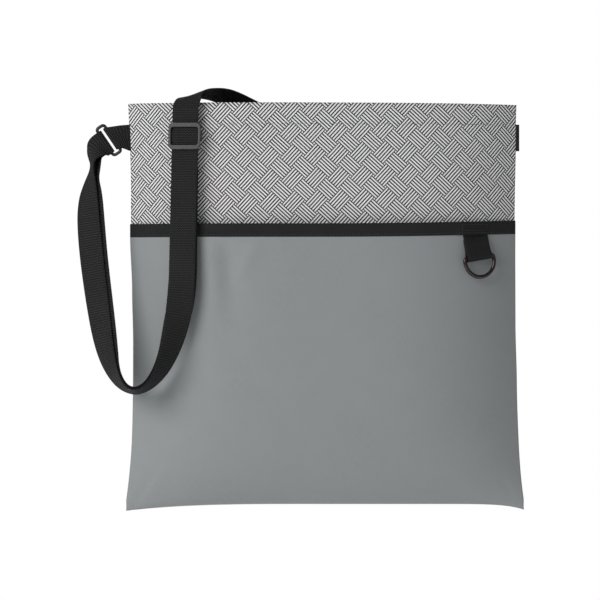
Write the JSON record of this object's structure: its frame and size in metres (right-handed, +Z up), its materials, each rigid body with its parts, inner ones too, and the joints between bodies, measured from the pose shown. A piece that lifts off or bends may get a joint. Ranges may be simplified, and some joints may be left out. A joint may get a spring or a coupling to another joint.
{
  "type": "sling tote bag",
  "caption": "Flat shoulder tote bag of two soft panels, with a full-width slip pocket, a webbing strap on a slider and side ring, and a D-ring on a tab.",
  "frame": {"origin": "middle of the open mouth, in the plane of the side seams, level with the front panel's top edge", "axes": "+Z up along the bag's height, -Y out of the front with the pocket, +X to the right in a view of the front"},
  "size_m": [0.4187, 0.0888, 0.3908],
  "materials": {
    "patterned_fabric": "woven polyester printed with a fine diagonal basket-weave line pattern in off-white and near-black",
    "grey_fabric": "plain-weave polyester, satin, mid grey",
    "binding_tape": "black ribbed binding tape",
    "webbing": "black polypropylene webbing with a fine diagonal weave",
    "tab_tape": "black ribbed tape",
    "ring_plastic": "glossy black plastic with a warm tint",
    "slider_plastic": "satin dark grey-brown moulded plastic",
    "black_thread": "black sewing thread",
    "grey_thread": "grey sewing thread"
  },
  "bodies": {
    "bag": {"front_panel": "patterned_fabric", "back_panel": "grey_fabric", "pocket_panel": "grey_fabric", "pocket_binding": "binding_tape", "front_hem": "patterned_fabric", "back_hem": "grey_fabric", "left_seam_tape": "binding_tape", "right_seam_tape": "binding_tape", "bottom_seam_tape": "binding_tape", "left_side_tab": "webbing", "strap_back_run": "webbing", "strap_anchor_tail": "webbing", "strap_top_bend": "webbing", "binding_stitching": "black_thread", "front_hem_stitching": "grey_thread", "back_hem_stitching": "grey_thread", "d_tab_tack": "black_thread"},
    "strap_loop": {"strap_outer_layer": "webbing", "strap_return_layer": "webbing", "strap_ring_fold": "webbing", "side_ring": "ring_plastic", "strap_return_upper": "webbing"},
    "slider": {"strap_slider": "slider_plastic", "strap_end_fold": "webbing", "end_fold_stitching": "black_thread"},
    "d_tab": {"d_ring_tab": "tab_tape"},
    "d_ring": {"d_ring": "ring_plastic"}
  },
  "joints": [
    {"name": "strap_swing", "type": "hinge", "parent": "bag", "child": "strap_loop", "pos_m": [-0.201, -0.002, -0.034], "axis": [-0.8582, 0.317, -0.4038], "range_deg": [0, 60], "deforming": ["strap_top_bend", "left_side_tab"]},
    {"name": "slider_slide", "type": "slide", "parent": "strap_loop", "child": "slider", "axis": [-0.0198, -0.0805, -0.9966], "range_m": [0, 0.085], "deforming": ["strap_return_upper"]},
    {"name": "d_tab_flap", "type": "hinge", "parent": "bag", "child": "d_tab", "pos_m": [0.1412, -0.03, -0.1248], "axis": [-0.9023, -0.4017, -0.1564], "range_deg": [0, 90]},
    {"name": "d_ring_swing", "type": "hinge", "parent": "d_tab", "child": "d_ring", "pos_m": [0.14445, -0.03001, -0.14352], "axis": [-0.9023, -0.4017, -0.1564], "range_deg": [0, 80]}
  ]
}
